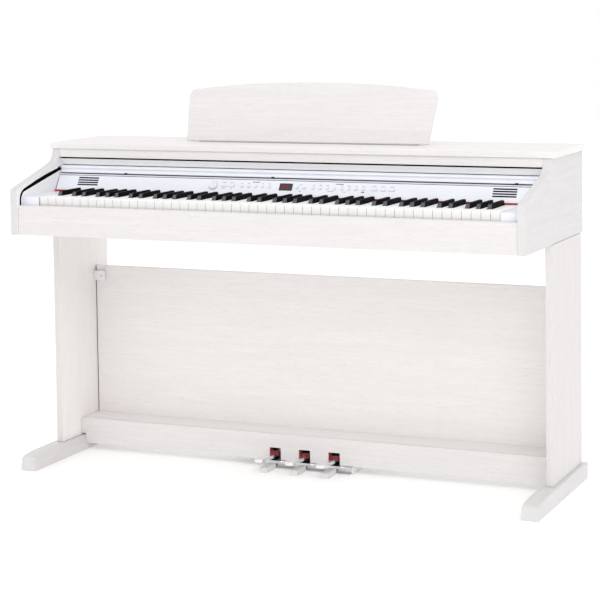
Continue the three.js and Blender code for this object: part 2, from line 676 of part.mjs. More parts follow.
function keyCover() {
  const front = COVER_FRONT;
  const rear = COVER_HINGE - 2.5;
  const boardTop = COVER_UNDER + 6;
  const profile = new THREE.Shape();
  profile.moveTo(front, NOSE_UNDER);
  profile.lineTo(front + 8, NOSE_UNDER);
  profile.lineTo(front + 14, COVER_UNDER);
  profile.lineTo(rear, COVER_UNDER);
  profile.lineTo(rear, boardTop);
  profile.lineTo(front + 18, boardTop);
  profile.lineTo(front + 14, NOSE_TOP);
  profile.quadraticCurveTo(front + 2, NOSE_TOP, front + 1.2, NOSE_BROW);
  profile.quadraticCurveTo(front + 5.5, NOSE_BROW - 5, front + 0.4, NOSE_UNDER + 3);
  const pins = [-1, 1].map((side) => pin(FRONT_PIN, side, COVER_HALF - 1));
  return join([across(profile, -COVER_HALF, COVER_HALF, 5), ...pins]);
}

// The bar that carries the cover's rear edge. Ears at its ends hold its pins on the hinge line.
function coverCarriage() {
  const half = COVER_HALF;
  const ear = CARRIAGE_EAR;
  const [front, back] = [COVER_HINGE + 1, COVER_HINGE + 1 + CARRIAGE_BAR];
  const bar = block([-half, front, COVER_LEVEL - 5], [half, back, COVER_LEVEL + 5]);
  const ends = [-1, 1].flatMap((side) => {
    const [e0, e1] = ordered(side * (half + 0.4), side * (INNER_X - 0.6));
    const [f0, f1] = ordered(side * (half - 1), side * (INNER_X - 0.6));
    return [
      block([e0, COVER_HINGE - ear, COVER_LEVEL - ear], [e1, back, COVER_LEVEL + ear]),
      block([f0, back - CARRIAGE_BAR / 2, COVER_LEVEL - ear], [f1, back, COVER_LEVEL + ear]),
      pin(COVER_HINGE, side, half + 1),
    ];
  });
  return join([bar, ...ends]);
}

// ---- Music rest: built upright on its hinge line, then leant back ----
function restPlate() {
  const half = REST_WIDTH / 2;
  const foot = half - 9;
  const r = REST_CORNER_RADIUS;
  const shape = new THREE.Shape();
  shape.moveTo(-foot, 0);
  shape.lineTo(foot, 0);
  shape.lineTo(half, REST_CORNER_HEIGHT - 2 * r);
  shape.quadraticCurveTo(half + 1, REST_CORNER_HEIGHT - 3, half - r, REST_CORNER_HEIGHT - 1);
  shape.quadraticCurveTo(half / 2, REST_MIDDLE_HEIGHT, 0, REST_MIDDLE_HEIGHT);
  shape.quadraticCurveTo(-half / 2, REST_MIDDLE_HEIGHT, r - half, REST_CORNER_HEIGHT - 1);
  shape.quadraticCurveTo(-half - 1, REST_CORNER_HEIGHT - 3, -half, REST_CORNER_HEIGHT - 2 * r);
  return backwards(shape, -REST_THICK, 0, 12);
}

function musicRest() {
  const group = new THREE.Group();
  group.position.set(0, ...REST_HINGE);
  group.rotation.x = -REST_LEAN;
  add(group, "music_rest", restPlate(), whiteFoil);
  return group;
}

// A hinge strip on the lid, just behind the foot of the rest.
function restHinge() {
  const front = REST_HINGE[0] + 4;
  const half = REST_WIDTH / 2 - 40;
  return block([-half, front, LID_TOP + FIT], [half, front + 12, LID_TOP + 2]);
}

// ---- Stand ----
function leg(side) {
  const [x0, x1] = ordered(side * LEG_INNER, side * LEG_OUTER);
  return block([x0, LEG_FRONT, FOOT_TOP + FIT], [x1, LEG_BACK, BODY_BOTTOM - FIT]);
}

function foot(side) {
  const profile = new THREE.Shape();
  profile.moveTo(FOOT_FRONT, 0);
  profile.lineTo(FOOT_FRONT + 5, 28);
  profile.quadraticCurveTo(FOOT_FRONT + 6.5, 34, FOOT_FRONT + 14, 35.5);
  profile.quadraticCurveTo(FOOT_FRONT + 46, FOOT_TOP, FOOT_FRONT + 80, FOOT_TOP);
  profile.lineTo(FOOT_BACK, FOOT_TOP);
  profile.lineTo(FOOT_BACK, 0);
  const edges = ordered(side * FOOT_INNER, side * FOOT_OUTER);
  return across(profile, ...edges, 6);
}

function railFront() {
  const wide = LEG_INNER - FIT;
  const narrow = FOOT_INNER - FIT;
  const shape = outline([
    [-narrow, RAIL_BOTTOM], [narrow, RAIL_BOTTOM], [narrow, RAIL_NOTCH_TOP], [wide, RAIL_NOTCH_TOP],
    [wide, RAIL_TOP], [-wide, RAIL_TOP], [-wide, RAIL_NOTCH_TOP], [-narrow, RAIL_NOTCH_TOP],
  ]);
  const board = backwards(shape, RAIL_FRONT, RAIL_FRONT + RAIL_BOARD);
  const [width, top] = PEDAL_SLOT;
  const through = [RAIL_FRONT - 5, RAIL_FRONT + RAIL_BOARD + 5];
  const slots = PEDAL_SLOTS.map((x) =>
    block([x - width / 2, through[0], RAIL_BOTTOM - 5], [x + width / 2, through[1], top]),
  );
  return cut(board, slots);
}

function railTop() {
  const half = LEG_INNER - FIT;
  const front = RAIL_FRONT + RAIL_BOARD + FIT;
  return block([-half, front, RAIL_TOP - RAIL_BOARD], [half, BACKBOARD_FRONT - FIT, RAIL_TOP]);
}

function backboard() {
  const half = LEG_INNER - BACKBOARD_GAP;
  const back = BACKBOARD_FRONT + BACKBOARD_THICK;
  return block([-half, BACKBOARD_FRONT, RAIL_TOP - RAIL_BOARD], [half, back, BACKBOARD_TOP]);
}

// Felt lines the left wall of each pedal slot. A strip behind the board joins the linings.
function pedalFelt() {
  const [width, top] = PEDAL_SLOT;
  const back = RAIL_FRONT + RAIL_BOARD + FIT;
  const bottom = RAIL_BOTTOM + 8;
  const margin = 6;
  const left = PEDAL_SLOTS[0] - width / 2 - margin;
  const right = PEDAL_SLOTS.at(-1) + width / 2 + margin;
  const strip = block([left, back, bottom], [right, back + 2, RAIL_TOP - RAIL_BOARD - 1]);
  const linings = PEDAL_SLOTS.map((x) => {
    const x0 = x - width / 2 + FIT;
    return block([x0, RAIL_FRONT + 1, bottom], [x0 + FELT_THICK, back + 1, top - FIT]);
  });
  const holes = PEDAL_SLOTS.map((x) => {
    const x0 = x - width / 2 + FIT + FELT_THICK;
    return block([x0, RAIL_FRONT - 5, bottom - 5], [x + width / 2 + 2, back + 5, top + 2]);
  });
  return cut(join([strip, ...linings]), holes);
}

// A pedal: a broad round toe that narrows to the arm, with a gentle rise to the toe.
function pedal(x) {
  const plan = new THREE.Shape();
  const toe = TOE_HALF;
  const arm = ARM_HALF;
  const [neck, waist, rear] = [RAIL_FRONT - 6, RAIL_FRONT - 30, PEDAL_PIVOT[0] + 8];
  plan.moveTo(-arm, rear);
  plan.lineTo(-arm, neck);
  plan.quadraticCurveTo(-toe, waist, -toe, PEDAL_TIP + 16);
  plan.quadraticCurveTo(-toe, PEDAL_TIP, 0, PEDAL_TIP);
  plan.quadraticCurveTo(toe, PEDAL_TIP, toe, PEDAL_TIP + 16);
  plan.quadraticCurveTo(toe, waist, arm, neck);
  plan.lineTo(arm, rear);
  const side = new THREE.Shape();
  const [front, back] = [PEDAL_TIP - 5, rear + 4];
  const bends = [PEDAL_TIP + 40, RAIL_FRONT - 40];
  const [under, top] = [0, 1].map((i) => ({ toe: TOE_LEVELS[i], arm: ARM_LEVELS[i] }));
  side.moveTo(front, under.toe);
  side.bezierCurveTo(bends[0], under.toe, bends[1], under.arm, RAIL_FRONT, under.arm);
  side.lineTo(back, under.arm);
  side.lineTo(back, top.arm);
  side.lineTo(RAIL_FRONT, top.arm);
  side.bezierCurveTo(bends[1], top.arm, bends[0], top.toe, front, top.toe);
  const arm3d = solid(across(side, -30, 30, 5)).intersect(solid(upwards(plan, 0, 80, 5)));
  return geometryOf(arm3d.subtract(solid(pedalPin(0, PIN_RADIUS + 0.4, 40)))).translate(x, 0, 0);
}

function pedalPin(x, radius, length) {
  const cylinder = new THREE.CylinderGeometry(radius, radius, length, 12);
  return cylinder.rotateZ(Math.PI / 2).translate(x, ...PEDAL_PIVOT);
}

// The steel housing below the rail, with a rolled front and a wall that closes it at the back.
// Its ears and pins carry the pedals.
function pedalBox() {
  const [left, right] = PEDAL_BOX;
  const [front, back] = PEDAL_BOX_DEPTHS;
  const top = RAIL_BOTTOM - FIT;
  const shape = new THREE.Shape();
  shape.moveTo(front, PEDAL_BOX_BOTTOM);
  shape.quadraticCurveTo(front - 6, (PEDAL_BOX_BOTTOM + top) / 2, front, top);
  shape.lineTo(back, top);
  shape.lineTo(back, PEDAL_BOX_BOTTOM);
  const wall = block([left, back - 2, top - 1], [right, back, RAIL_TOP - RAIL_BOARD - 1]);
  const [depth, height] = PEDAL_PIVOT;
  const hinges = Object.values(PEDALS).flatMap((x) => [
    pedalPin(x, PIN_RADIUS, 2 * EAR_OUTER - 1),
    ...[-1, 1].map((side) => {
      const [x0, x1] = ordered(x + side * (EAR_OUTER - 3), x + side * EAR_OUTER);
      return block([x0, depth - 7, top - 1], [x1, depth + 7, height + 6]);
    }),
  ]);
  return join([across(shape, left, right, 3), wall, ...hinges]);
}

// Rubber rests on the floor, one in front of each pedal, on one mat under the housing.
function pedalStops() {
  const [left, right] = PEDAL_BOX;
  const [front, back] = STOP_DEPTHS;
  const mat = block([left + 4, back - 3, 0], [right - 4, PEDAL_BOX_DEPTHS[1] - 4, PEDAL_BOX_BOTTOM - FIT]);
  const wedge = new THREE.Shape();
  wedge.moveTo(front, 0);
  wedge.lineTo(front, STOP_TOP - 2);
  wedge.quadraticCurveTo(front, STOP_TOP, front + 2, STOP_TOP);
  wedge.lineTo(back, STOP_TOP);
  wedge.lineTo(back, 0);
  const stops = Object.values(PEDALS).map((x) => across(wedge, x - STOP_WIDTH / 2, x + STOP_WIDTH / 2, 3));
  return join([mat, ...stops]);
}

// A circuit board on four pillars, with its larger components as blocks.
function circuitBoard() {
  const [width, depth, thick] = CIRCUIT_BOARD;
  const front = CIRCUIT_BOARD_FRONT;
  const base = KEYBED_TOP + FIT;
  const under = base + 12;
  const top = under + thick;
  const inset = 10; // from the board's edges to the pillars
  const pillar = (x, y) => block([x - 4, y - 4, base], [x + 4, y + 4, under + 0.5]);
  const component = ([x, y, w, d]) => block([x, front + y, under + 1], [x + w, front + y + d, top + 6]);
  const board = block([-width / 2, front, under], [width / 2, front + depth, top]);
  const pillars = [inset - width / 2, width / 2 - inset].flatMap((x) =>
    [front + inset, front + depth - inset].map((y) => pillar(x, y)),
  );
  const components = [[-110, 30, 30, 24], [-40, 50, 40, 40], [40, 40, 24, 18], [100, 70, 34, 30]];
  return join([board, ...pillars, ...components.map(component)]);
}

// ---- Assembly ----
function cabinet() {
  const group = new THREE.Group();
  for (const [word, side] of [["left", -1], ["right", 1]]) {
    add(group, word + "_side_panel", sidePanel(side), whiteFoil);
    add(group, word + "_cheek_block", cheekBlock(side), whiteFoil);
    add(group, word + "_speaker", speaker(side), blackPlastic);
  }
  add(group, "top_lid", lid(), whiteFoil);
  add(group, "front_fascia", fascia(), whiteFoil);
  add(group, "rear_panel", rearPanel(), hardboard);
  add(group, "jack_panel", jackPanel(), blackPlastic);
  add(group, "keybed", keybed(), hardboard);
  add(group, "key_slip", keySlip(), whiteFoil);
  add(group, "key_frame", keyFrame(), sheetSteel);
  add(group, "felt_strip", feltStrip(), redFelt);
  add(group, "circuit_board", circuitBoard(), greenBoard);
  add(group, "rest_hinge", restHinge(), sheetSteel);
  return group;
}

function keyCoverUnit() {
  const group = new THREE.Group();
  add(group, "key_cover", keyCover(), palePlastic);
  add(group, "cover_carriage", coverCarriage(), sheetSteel);
  return group;
}

function stand() {
  const group = new THREE.Group();
  for (const [word, side] of [["left", -1], ["right", 1]]) {
    add(group, word + "_leg", leg(side), whiteFoil);
    add(group, word + "_foot", foot(side), whiteFoil);
  }
  add(group, "rail_front_board", railFront(), whiteFoil);
  add(group, "rail_top_board", railTop(), whiteFoil);
  add(group, "backboard", backboard(), whiteFoil);
  add(group, "pedal_felt", pedalFelt(), redFelt);
  add(group, "pedal_box", pedalBox(), sheetSteel);
  add(group, "pedal_stops", pedalStops(), whiteRubber);
  for (const [name, x] of Object.entries(PEDALS)) add(group, name, pedal(x), chrome);
  return group;
}

const piano = new THREE.Group();
piano.position.y = -BODY_DEPTH / 2;
piano.add(cabinet(), keyboard(), controlPanel(), keyCoverUnit(), musicRest(), stand());

export default piano;
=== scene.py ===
"""Digital piano on a panel stand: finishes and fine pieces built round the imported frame.

Metres, +Z up, the player sits at -Y, the bass end is at -X. Every piece takes its place from the CAD nodes.
"""

from math import pi, radians

import bmesh
import bpy
from mathutils import Matrix, Vector


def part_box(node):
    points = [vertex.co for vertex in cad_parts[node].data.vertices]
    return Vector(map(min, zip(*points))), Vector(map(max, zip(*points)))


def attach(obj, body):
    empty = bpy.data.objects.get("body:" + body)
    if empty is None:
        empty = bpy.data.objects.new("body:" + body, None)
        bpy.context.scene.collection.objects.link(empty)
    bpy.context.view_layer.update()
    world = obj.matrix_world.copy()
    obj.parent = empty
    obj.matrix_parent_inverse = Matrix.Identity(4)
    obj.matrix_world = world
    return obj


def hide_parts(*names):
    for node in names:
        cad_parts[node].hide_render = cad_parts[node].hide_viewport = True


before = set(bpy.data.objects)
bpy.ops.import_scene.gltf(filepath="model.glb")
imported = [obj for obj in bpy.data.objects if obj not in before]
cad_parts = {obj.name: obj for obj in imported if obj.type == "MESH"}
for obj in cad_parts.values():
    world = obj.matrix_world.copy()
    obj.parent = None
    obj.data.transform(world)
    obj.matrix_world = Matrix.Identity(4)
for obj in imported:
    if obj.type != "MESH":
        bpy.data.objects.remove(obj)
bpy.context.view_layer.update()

MM = 0.001
DEPTH_ORIGIN = 242.9  # mm from the front of the arms to the middle of the cabinet


def at(x, depth, z):
    """A point from its width, its depth behind the arms' front faces, and its height, in mm."""
    return Vector((x, depth - DEPTH_ORIGIN, z)) * MM


# ---------------------------------------------------------------- colours and nodes


def linear(hex_colour):
    """sRGB hex to the linear colour that Blender's sockets hold."""
    channels = [int(hex_colour[i : i + 2], 16) / 255 for i in (1, 3, 5)]
    return tuple(c / 12.92 if c <= 0.04045 else ((c + 0.055) / 1.055) ** 2.4 for c in channels) + (1.0,)


def add(tree, kind, settings=None, **inputs):
    """Adds a node. Settings are its properties; inputs are values, or sockets that are linked in.

    An input's name has underscores for spaces. An input that has only a number is written _0, _1 and so on.
    """
    made = tree.nodes.new(kind)
    for name, value in (settings or {}).items():
        setattr(made, name, value)
    for name, value in inputs.items():
        bare = name.lstrip("_")
        socket = made.inputs[int(bare)] if bare.isdigit() else made.inputs[name.replace("_", " ")]
        if isinstance(value, bpy.types.NodeSocket):
            tree.links.new(value, socket)
        else:
            socket.default_value = value
    return made


def cloudy(tree, place, layer):
    """A noise pattern whose grain is layer["size"] mm across: one size, or one for each of x, y and z."""
    sizes = layer["size"] if isinstance(layer["size"], tuple) else (layer["size"],) * 3
    scaled = add(tree, "ShaderNodeMapping", Vector=place, Scale=[1 / (size * MM) for size in sizes])
    settings = {"Scale": 1.0, "Detail": layer.get("detail", 2.0), "Distortion": layer.get("twist", 0.0)}
    settings["Roughness"] = layer.get("roughness", 0.5)
    return add(tree, "ShaderNodeTexNoise", Vector=scaled.outputs["Vector"], **settings).outputs["Fac"]


def woven(tree, place, layer):
    """Threads that cross at right angles, layer["size"] mm apart."""
    waves_per_unit = 20 / (2 * pi)  # how many bands a Wave texture of scale 1 draws in one unit
    scale = 1 / (waves_per_unit * layer["size"] * MM)
    across, along = (
        add(tree, "ShaderNodeTexWave", {"bands_direction": way}, Vector=place, Scale=scale, Distortion=0.3)
        for way in ("X", "Z")
    )
    threads = {"_0": across.outputs["Fac"], "_1": along.outputs["Fac"]}
    return add(tree, "ShaderNodeMath", {"operation": "MULTIPLY"}, **threads).outputs["Value"]


def finish(name, colour, roughness, layers, **shader_values):
    """A material with one Principled shader and patterns laid over it, each in object coordinates.

    A layer has a size in mm and may have: band, the part of the pattern that counts as 0 to 1; tint and
    share, a colour and how much of it shows; rough, the roughness at the pattern's ends; relief and strength,
    the depth in mm that the pattern is raised, or sunk if negative; pattern, the function that draws it.
    """
    material = bpy.data.materials.new(name)
    material.use_nodes = True
    tree = material.node_tree
    tree.nodes.clear()
    values = {"Base_Color": linear(colour), "Roughness": roughness, **shader_values}
    shader = add(tree, "ShaderNodeBsdfPrincipled", **values)
    add(tree, "ShaderNodeOutputMaterial", Surface=shader.outputs["BSDF"])
    place = add(tree, "ShaderNodeTexCoord").outputs["Object"]
    base, surface = linear(colour), {}
    for layer in layers:
        pattern = layer.get("pattern", cloudy)(tree, place, layer)
        low, high = layer.get("band", (0.4, 0.65))
        band = {"Value": pattern, "From_Min": low, "From_Max": high}
        if "tint" in layer:
            share = add(tree, "ShaderNodeMapRange", **band, To_Max=layer["share"]).outputs["Result"]
            mixed = {"_0": share, "_6": base, "_7": linear(layer["tint"])}
            base = add(tree, "ShaderNodeMix", {"data_type": "RGBA"}, **mixed).outputs[2]
            tree.links.new(base, shader.inputs["Base Color"])
        if "rough" in layer:
            ends = {"To_Min": layer["rough"][0], "To_Max": layer["rough"][1]}
            shine = add(tree, "ShaderNodeMapRange", Value=pattern, From_Min=0.3, From_Max=0.7, **ends)
            tree.links.new(shine.outputs["Result"], shader.inputs["Roughness"])
        if "relief" in layer:
            level = add(tree, "ShaderNodeMapRange", **band).outputs["Result"]
            raised = {"Height": level, "Distance": abs(layer["relief"]) * MM, "Strength": layer["strength"]}
            bump = add(tree, "ShaderNodeBump", {"invert": layer["relief"] < 0}, **raised, **surface)
            surface = {"Normal": bump.outputs["Normal"]}
            tree.links.new(bump.outputs["Normal"], shader.inputs["Normal"])
    return material


# ---------------------------------------------------------------- finishes


def ash_foil(axis, tone, colour, streak, pore):
    """White ash-grain foil, pressed with open pores: a satin white with faint streaks along one axis."""

    def along(run, pitch):
        return tuple(run if i == axis else pitch for i in range(3))

    figure = {"size": along(420, 34), "twist": 1.2, "band": (0.35, 0.65), "tint": streak, "share": 0.45}
    streaks = {"size": along(150, 7), "detail": 3, "roughness": 0.6, "twist": 0.4, "band": (0.35, 0.66)}
    streaks |= {"tint": streak, "share": 0.5, "rough": (0.38, 0.5), "relief": -0.05, "strength": 0.4}
    pores = {"size": along(26, 0.9), "roughness": 0.6, "band": (0.57, 0.68), "tint": pore, "share": 0.5}
    pores |= {"relief": -0.12, "strength": 0.5}
    return finish(tone + "_ash_foil_" + "xyz"[axis], colour, 0.42, [figure, streaks, pores], IOR=1.5)


def painted_pearl_panel():
    """ABS sprayed with a pearl lilac-white lacquer: an even sheen with a very fine orange peel."""
    drift = {"size": 60, "tint": "#EDEFFA", "share": 0.5}
    peel = {"size": 1.6, "relief": 0.03, "strength": 0.35}
    coat = {"Coat_Weight": 0.25, "Coat_Roughness": 0.25}
    return finish("pearl_lacquered_abs", "#F3F5FD", 0.34, [drift, peel], **coat)


def moulded_button():
    """Moulded ABS with a spark-eroded skin: slightly greyer and duller than the lacquered panel."""
    drift = {"size": 9, "band": (0.4, 0.7), "tint": "#E6E8F1", "share": 0.4}
    skin = {"size": 0.5, "relief": 0.03, "strength": 0.4}
    return finish("moulded_button_abs", "#EFF0F7", 0.45, [drift, skin])


def white_key_acrylic():
    """Polished key plastic: a clear deep gloss over warm white, with finger polish in the shine."""
    drift = {"size": (23, 90, 40), "tint": "#EBEAE8", "share": 0.45}
    polish = {"size": (7, 30, 12), "detail": 3, "rough": (0.1, 0.2)}
    sag = {"size": (14, 50, 20), "detail": 1, "relief": 0.03, "strength": 0.2}
    layers = [drift, polish, sag]
    return finish("polished_white_key_plastic", "#F0EFEE", 0.12, layers, Coat_Weight=0.4, Coat_Roughness=0.06)


def brushed_black_plastic():
    """Black key plastic brushed along the key, so that its top and sides stay dull."""
    grain = {"size": (0.8, 22, 3), "detail": 3, "band": (0.45, 0.7), "tint": "#0D0D0F", "share": 0.5}
    grain |= {"rough": (0.5, 0.7), "relief": 0.05, "strength": 0.3}
    return finish("brushed_black_key_plastic", "#050506", 0.6, [grain], Specular_IOR_Level=0.05)


def sheened_black_front_plastic():
    """The black keys' rounded fronts, polished by fingers; their grey colour is a painted sheen of the room.
    """
    painted_sheen = {"size": (3, 5, 5), "detail": 3, "band": (0.4, 0.7), "tint": "#55575D", "share": 0.6}
    painted_sheen |= {"rough": (0.22, 0.36)}
    return finish("black_key_front_painted_sheen", "#46484E", 0.28, [painted_sheen], Coat_Weight=0.5, Coat_Roughness=0.2)


def lit_key_top_plastic():
    """The white keys' tops: the same white plastic painted a little lighter, as painted light, with a dull,
    slightly porous skin.
    """
    skin = {"size": (1.2, 6, 4), "detail": 3, "band": (0.45, 0.7), "tint": "#F4F3F2", "share": 0.5}
    skin |= {"rough": (0.5, 0.65), "relief": 0.03, "strength": 0.3}
    return finish("dull_white_key_top_painted_light", "#FBFAFA", 0.55, [skin], Specular_IOR_Level=0.3)


def painted_light_strip():
    """White gloss lacquer on the strip under the fascia's slot, painted lighter than the fascia: painted
    light where the strip sits in shade.
    """
    sag = {"size": (120, 4, 4), "detail": 2, "tint": "#F8F8F7", "share": 0.6, "rough": (0.2, 0.32)}
    sag |= {"relief": 0.04, "strength": 0.2}
    return finish("white_lacquer_painted_light", "#FDFDFC", 0.25, [sag])


def pressed_felt(name, colour, fibre, worn):
    """Wool felt dyed red: matt, with a fuzz of lighter fibres and darker trodden patches."""
    fuzz = {"size": (2.4, 0.6, 1.2), "detail": 4, "roughness": 0.7, "twist": 1.5, "band": (0.5, 0.75)}
    fuzz |= {"tint": fibre, "share": 0.6, "relief": 0.4, "strength": 0.7}
    patches = {"size": 12, "band": (0.35, 0.6), "tint": worn, "share": 0.5}
    return finish(name, colour, 0.95, [fuzz, patches], Sheen_Weight=0.2, Sheen_Roughness=0.5)


def smoked_window():
    """Smoked acrylic over a dark digit block: near black with a red depth and a hard gloss."""
    depth = {"size": 11, "band": (0.4, 0.7), "tint": "#220509", "share": 0.6}
    wipes = {"size": 6, "detail": 3, "rough": (0.04, 0.11)}
    return finish("smoked_acrylic", "#140305", 0.06, [depth, wipes], Coat_Weight=0.6, Coat_Roughness=0.03)


def lit_segment():
    """Red digit segments seen through smoked plastic: a dim red glow, brightest in its middle."""
    glow = {"size": 2.2, "detail": 1, "tint": "#8A0C12", "share": 0.7}
    light = {"Emission_Color": linear("#B01018"), "Emission_Strength": 0.25}
    return finish("lit_red_segment", "#6A0408", 0.5, [glow], **light)


def worn_chrome():
    """Bright plating worn by shoes: soft bright reflections with faint wipe marks."""
    wipes = {"size": (9, 40, 9), "detail": 4, "roughness": 0.6, "twist": 0.8, "band": (0.5, 0.8)}
    wipes |= {"tint": "#DCDDE0", "share": 0.4, "rough": (0.18, 0.3)}
    swell = {"size": 18, "detail": 1, "relief": 0.1, "strength": 0.15}
    return finish("worn_chrome_plate", "#F1F1F2", 0.24, [wipes, swell], Metallic=1.0)


def zinc_sheet():
    """Rolled steel sheet, zinc plated: streaky grey with soft reflections along the rolling direction."""
    rolled = {"size": (60, 0.8, 0.8), "detail": 4, "roughness": 0.6, "band": (0.4, 0.7), "tint": "#A9ACB0"}
    rolled |= {"share": 0.6, "rough": (0.24, 0.42), "relief": 0.03, "strength": 0.4}
    return finish("zinc_plated_steel", "#C4C6C9", 0.32, [rolled], Metallic=1.0)


def drawn_stainless():
    """Polished stainless housing: broad soft reflections broken by drawn lines."""
    drawn = {"size": (90, 1.1, 1.1), "detail": 4, "roughness": 0.6, "band": (0.45, 0.75), "tint": "#B4B5B9"}
    drawn |= {"share": 0.5, "rough": (0.13, 0.3), "relief": 0.04, "strength": 0.4}
    return finish("drawn_stainless_steel", "#D2D2D4", 0.18, [drawn], Metallic=1.0)


def black_abs():
    """Black moulded ABS with a leathery skin, as on sockets, cones and linings."""
    skin = {"size": 1.4, "detail": 3, "roughness": 0.6, "band": (0.5, 0.75), "tint": "#202124", "share": 0.5}
    skin |= {"rough": (0.48, 0.66), "relief": 0.12, "strength": 0.5}
    return finish("textured_black_abs", "#141416", 0.55, [skin])


def painted_shade_lining():
    """Matt black put in the guide grooves, slots and gaps as painted shade: it takes all light."""
    patches = {"size": 2.5, "detail": 3, "band": (0.45, 0.7), "tint": "#0C0C0E", "share": 0.5}
    nap = {"size": 0.9, "detail": 3, "relief": 0.2, "strength": 0.6}
    return finish("painted_shade_black", "#050506", 0.98, [patches, nap], Specular_IOR_Level=0.1)


def speaker_cloth():
    """Black woven cloth behind the sound slots, its threads far enough apart to show."""
    weave = {"pattern": woven, "size": 1.4, "band": (0.2, 0.8), "tint": "#1E1E22", "share": 0.8}
    weave |= {"relief": 0.3, "strength": 0.6}
    return finish("woven_speaker_cloth", "#0B0B0D", 0.9, [weave], Sheen_Weight=0.2)


def solder_mask():
    """Glass-fibre board under green solder mask: copper tracks show as slightly lighter runs."""
    tracks = {"size": (40, 2.2, 4), "detail": 1, "twist": 0.2, "band": (0.52, 0.56), "tint": "#2F7A4B"}
    tracks |= {"share": 0.6, "relief": 0.05, "strength": 0.4}
    return finish("green_solder_mask", "#1D5A35", 0.4, [tracks], Coat_Weight=0.3)


def white_rubber():
    """Moulded white rubber: dull, with a little scuffing where shoes rub it."""
    scuffs = {"size": (14, 22, 14), "detail": 5, "roughness": 0.7, "twist": 1.0, "band": (0.58, 0.8)}
    scuffs |= {"tint": "#C4C1C1", "share": 0.6, "rough": (0.6, 0.85)}
    skin = {"size": 1.2, "detail": 3, "relief": 0.08, "strength": 0.4}
    return finish("moulded_white_rubber", "#DEDCDC", 0.7, [scuffs, skin])


def black_rubber():
    """Soft black bumper rubber: matt, with a dusty bloom."""
    bloom = {"size": 3, "detail": 4, "band": (0.5, 0.75), "tint": "#242427", "share": 0.5}
    skin = {"size": 0.8, "relief": 0.05, "strength": 0.4}
    return finish("black_bumper_rubber", "#0E0E10", 0.8, [bloom, skin])


def painted_hardboard():
    """Hardboard with one coat of white: the pressed fibres still show as small flecks."""
    fibres = {"size": 5, "detail": 6, "roughness": 0.75, "twist": 2.0, "band": (0.5, 0.72), "tint": "#D3CEC7"}
    fibres |= {"share": 0.6, "rough": (0.65, 0.85), "relief": 0.15, "strength": 0.6}
    return finish("painted_hardboard", "#E4E1DD", 0.75, [fibres])


def white_nylon():
    """Injection-moulded nylon: milky white with a soft shine and faint flow marks."""
    flow = {"size": (12, 12, 30), "detail": 3, "roughness": 0.6, "twist": 0.6, "band": (0.45, 0.7)}
    flow |= {"tint": "#E4E3E4", "share": 0.5}
    skin = {"size": 1.0, "relief": 0.04, "strength": 0.4}
    return finish("white_nylon", "#F1F0F0", 0.4, [flow, skin], Subsurface_Weight=0.05)


def print_ink(name, colour):
    """Screen-printed ink: flat and slightly uneven where the mesh left it thin."""
    thin = {"size": 1.5, "band": (0.45, 0.7), "tint": "#C9CBD2", "share": 0.35}
    return finish(name, colour, 0.6, [thin])


def lit_floor():
    """Matt white acrylic lit from below: it keeps the floor pale and lifts the undersides."""
    drift = {"size": 400, "band": (0.4, 0.6), "tint": "#F8F8F8", "share": 0.3}
    light = {"Emission_Color": linear("#FFFFFF"), "Emission_Strength": 0.18}
    return finish("lit_white_acrylic", "#F4F4F4", 0.85, [drift], **light)


# One ash foil in lighter and darker copies, set part by part and face by face: painted light and painted
# shade, not two different foils.
LIT_ASH_X = ash_foil(0, "bright", "#F1EEED", "#EAE6E5", "#D8D2D0")
LIT_ASH_Y = ash_foil(1, "bright", "#F4F4F5", "#EEEDEE", "#DCD9D9")
LIT_ASH_Z = ash_foil(2, "bright", "#F8F5F4", "#F1EDEC", "#DFDAD8")
SHADED_ASH_X = ash_foil(0, "plain", "#E6E3E2", "#DEDAD9", "#CCC6C4")
SHADED_ASH_Y = ash_foil(1, "plain", "#DDDBDB", "#D5D2D2", "#C3BEBD")
SHADED_ASH_Z = ash_foil(2, "plain", "#E1DEDD", "#D9D5D4", "#C7C1BF")
PEARL = painted_pearl_panel()
BUTTON = moulded_button()
WHITE_KEY = white_key_acrylic()
# The key tops are a lighter copy of the key plastic: painted light.
LIT_KEY_TOP = lit_key_top_plastic()
BLACK_KEY = brushed_black_plastic()
# The black keys' fronts carry a grey painted sheen.
SHEENED_BLACK_FRONT = sheened_black_front_plastic()
# The strip under the fascia's slot is a lighter white: painted light.
LIT_STRIP = painted_light_strip()
FELT = pressed_felt("pressed_red_felt", "#BE2A40", "#D9556A", "#A01A2E")
PEDAL_FELT = pressed_felt("dark_red_felt", "#9C1528", "#B53244", "#7E0E1E")
WINDOW = smoked_window()
LIT = lit_segment()
CHROME = worn_chrome()
ZINC = zinc_sheet()
STAINLESS = drawn_stainless()
BLACK_ABS = black_abs()
# Matt black standing in for the shade in grooves, slots and gaps: painted shade.
SHADE_BLACK = painted_shade_lining()
CLOTH = speaker_cloth()
MASK = solder_mask()
RUBBER = white_rubber()
BUMPER = black_rubber()
HARDBOARD = painted_hardboard()
NYLON = white_nylon()
PALE_INK = print_ink("pale_grey_ink", "#9A9DA8")
DARK_INK = print_ink("dark_grey_ink", "#4A4C55")


# ---------------------------------------------------------------- mesh helpers


def make_piece(name, bm, materials, body, smooth=40):
    """Turns a bmesh into a piece that rides on a body. Edges sharper than smooth degrees stay crisp."""
    mesh = bpy.data.meshes.new(name)
    bm.to_mesh(mesh)
    bm.free()
    mesh.shade_smooth()
    mesh.set_sharp_from_angle(angle=radians(smooth))
    piece = bpy.data.objects.new(name, mesh)
    bpy.context.scene.collection.objects.link(piece)
    for material in materials if isinstance(materials, list) else [materials]:
        mesh.materials.append(material)
    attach(piece, body)
    return piece


def even_normals(piece):
    """Keeps broad faces flat in shading while their rounded edges blend."""
    modifier = piece.modifiers.new("even_normals", "WEIGHTED_NORMAL")
    modifier.keep_sharp = True
    return piece


